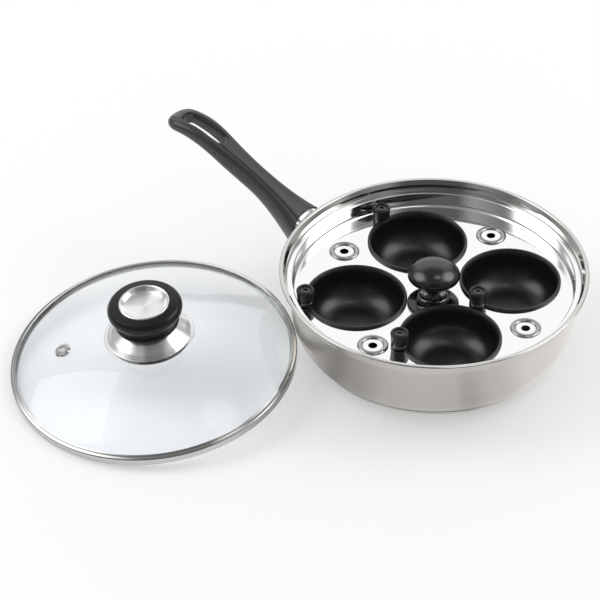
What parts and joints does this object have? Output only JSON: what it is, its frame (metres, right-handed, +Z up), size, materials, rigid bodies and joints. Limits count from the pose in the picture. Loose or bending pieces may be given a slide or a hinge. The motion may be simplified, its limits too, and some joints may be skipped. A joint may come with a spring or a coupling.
{
  "type": "egg poacher pan",
  "caption": "Steel egg poacher pan with a moulded handle, a mirror tray of non-stick egg cups, each with a thumb knob, and a domed glass lid lying beside it.",
  "frame": {"origin": "centre of the underside of the pan's base, on the surface that it stands on", "axes": "+Z up along the axis of the pan, -X along the handle; the lid lies beside the pan towards -X and -Y"},
  "size_m": [0.3378, 0.3472, 0.1032],
  "materials": {
    "pan_steel": "satin steel, warm grey, with a bright rolled lip",
    "base_steel": "brushed steel base cap",
    "base_aluminium": "plain aluminium core, sealed in the base",
    "bracket_steel": "plain steel, inside the flame guard",
    "guard_steel": "bright polished steel sleeve",
    "grip_phenolic": "satin dark moulded phenolic plastic",
    "mirror_steel": "mirror polished steel sheet",
    "knob_phenolic": "glossy black moulded plastic",
    "thumb_knob": "satin black moulded plastic",
    "nonstick": "matt black non-stick coating",
    "washer_steel": "bright steel",
    "screw_steel": "plain steel fastener",
    "lid_glass": "clear tempered glass, a faint blue-grey cast",
    "band_steel": "rolled steel band, polished",
    "eyelet_steel": "polished steel eyelet",
    "brushed_steel": "spun steel, brushed in circles",
    "lid_knob_phenolic": "satin black moulded plastic",
    "silicone": "grey silicone"
  },
  "bodies": {
    "pan": {"pan_body": "pan_steel", "base_core": "base_aluminium", "base_cap": "base_steel", "handle_bracket": "bracket_steel", "flame_guard": "guard_steel", "handle_grip": "grip_phenolic", "handle_bolt": "screw_steel"},
    "tray": {"egg_tray": "mirror_steel", "tray_knob": "knob_phenolic", "tray_knob_collar": "washer_steel", "tray_knob_screw": "screw_steel"},
    "cup_1": {"cup_1": "nonstick", "cup_1_knob": "thumb_knob", "cup_1_washer": "washer_steel", "cup_1_screw": "screw_steel"},
    "cup_2": {"cup_2": "nonstick", "cup_2_knob": "thumb_knob", "cup_2_washer": "washer_steel", "cup_2_screw": "screw_steel"},
    "cup_3": {"cup_3": "nonstick", "cup_3_knob": "thumb_knob", "cup_3_washer": "washer_steel", "cup_3_screw": "screw_steel"},
    "cup_4": {"cup_4": "nonstick", "cup_4_knob": "thumb_knob", "cup_4_washer": "washer_steel", "cup_4_screw": "screw_steel"},
    "lid": {"lid_glass": "lid_glass", "lid_band": "band_steel", "lid_vent_eyelet": "eyelet_steel", "lid_knob_base": "brushed_steel", "lid_knob_grip": "lid_knob_phenolic", "lid_knob_cap": "brushed_steel", "lid_knob_screw": "screw_steel", "lid_knob_washer": "washer_steel", "lid_knob_gasket": "silicone"}
  },
  "joints": [
    {"name": "tray_lift", "type": "slide", "parent": "pan", "child": "tray", "axis": [0, 0, 1], "range_m": [0, 0.12]},
    {"name": "cup_1_lift", "type": "slide", "parent": "tray", "child": "cup_1", "axis": [0, 0, 1], "range_m": [0, 0.06]},
    {"name": "cup_2_lift", "type": "slide", "parent": "tray", "child": "cup_2", "axis": [0, 0, 1], "range_m": [0, 0.06]},
    {"name": "cup_3_lift", "type": "slide", "parent": "tray", "child": "cup_3", "axis": [0, 0, 1], "range_m": [0, 0.06]},
    {"name": "cup_4_lift", "type": "slide", "parent": "tray", "child": "cup_4", "axis": [0, 0, 1], "range_m": [0, 0.06]},
    {"name": "lid_lift", "type": "slide", "parent": "pan", "child": "lid", "axis": [-0.341, -0.3657, 0.866], "range_m": [0, 0.12]}
  ]
}
